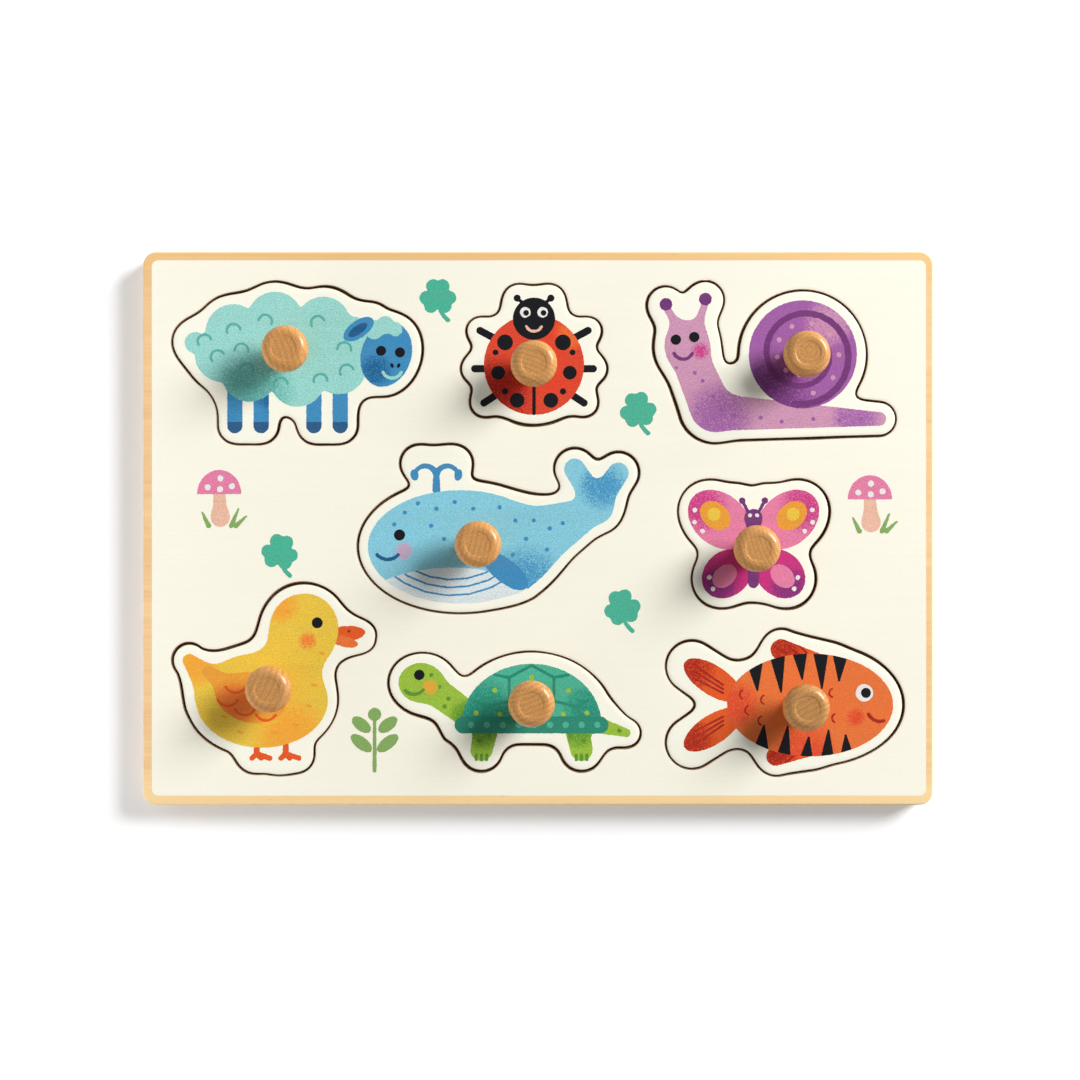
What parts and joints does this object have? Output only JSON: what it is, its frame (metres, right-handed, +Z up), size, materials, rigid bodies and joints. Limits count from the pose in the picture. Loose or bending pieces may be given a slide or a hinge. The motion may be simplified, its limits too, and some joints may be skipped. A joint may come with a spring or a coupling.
{
  "type": "wooden knob puzzle",
  "caption": "Rectangular wooden peg puzzle tray with animal figures that lift out by turned knobs.",
  "frame": {"origin": "middle of the backing board's underside, where the tray rests on a table", "axes": "+X along the tray's long side, +Y towards its upper long edge as it is played with, +Z up out of the tray along the knobs"},
  "size_m": [0.3, 0.21, 0.022],
  "materials": {
    "birch_plywood": "bare birch plywood, sanded, satin",
    "printed_birch": "cream printed ground with a bare wood border, matt",
    "varnished_beech": "turned beech with clear gloss varnish",
    "zinc_plated_steel": "zinc plated, satin",
    "sheep_print": "aqua print on birch plywood with a bare margin, matt",
    "ladybird_print": "red print on birch plywood with a bare margin, matt",
    "snail_print": "lilac print on birch plywood with a bare margin, matt",
    "whale_print": "sky blue print on birch plywood with a bare margin, matt",
    "butterfly_print": "pink print on birch plywood with a bare margin, matt",
    "duck_print": "yellow print on birch plywood with a bare margin, matt",
    "turtle_print": "green print on birch plywood with a bare margin, matt",
    "fish_print": "orange print with black stripes on birch plywood with a bare margin, matt"
  },
  "bodies": {
    "board": {"backing_board": "birch_plywood", "front_board": "printed_birch"},
    "sheep": {"sheep_piece": "sheep_print", "sheep_knob": "varnished_beech", "sheep_screw": "zinc_plated_steel"},
    "ladybird": {"ladybird_piece": "ladybird_print", "ladybird_knob": "varnished_beech", "ladybird_screw": "zinc_plated_steel"},
    "snail": {"snail_piece": "snail_print", "snail_knob": "varnished_beech", "snail_screw": "zinc_plated_steel"},
    "whale": {"whale_piece": "whale_print", "whale_knob": "varnished_beech", "whale_screw": "zinc_plated_steel"},
    "butterfly": {"butterfly_piece": "butterfly_print", "butterfly_knob": "varnished_beech", "butterfly_screw": "zinc_plated_steel"},
    "duck": {"duck_piece": "duck_print", "duck_knob": "varnished_beech", "duck_screw": "zinc_plated_steel"},
    "turtle": {"turtle_piece": "turtle_print", "turtle_knob": "varnished_beech", "turtle_screw": "zinc_plated_steel"},
    "fish": {"fish_piece": "fish_print", "fish_knob": "varnished_beech", "fish_screw": "zinc_plated_steel"}
  },
  "joints": [
    {"name": "sheep_lift", "type": "slide", "parent": "board", "child": "sheep", "axis": [0, 0, 1], "range_m": [0, 0.03]},
    {"name": "ladybird_lift", "type": "slide", "parent": "board", "child": "ladybird", "axis": [0, 0, 1], "range_m": [0, 0.03]},
    {"name": "snail_lift", "type": "slide", "parent": "board", "child": "snail", "axis": [0, 0, 1], "range_m": [0, 0.03]},
    {"name": "whale_lift", "type": "slide", "parent": "board", "child": "whale", "axis": [0, 0, 1], "range_m": [0, 0.03]},
    {"name": "butterfly_lift", "type": "slide", "parent": "board", "child": "butterfly", "axis": [0, 0, 1], "range_m": [0, 0.03]},
    {"name": "duck_lift", "type": "slide", "parent": "board", "child": "duck", "axis": [0, 0, 1], "range_m": [0, 0.03]},
    {"name": "turtle_lift", "type": "slide", "parent": "board", "child": "turtle", "axis": [0, 0, 1], "range_m": [0, 0.03]},
    {"name": "fish_lift", "type": "slide", "parent": "board", "child": "fish", "axis": [0, 0, 1], "range_m": [0, 0.03]}
  ]
}
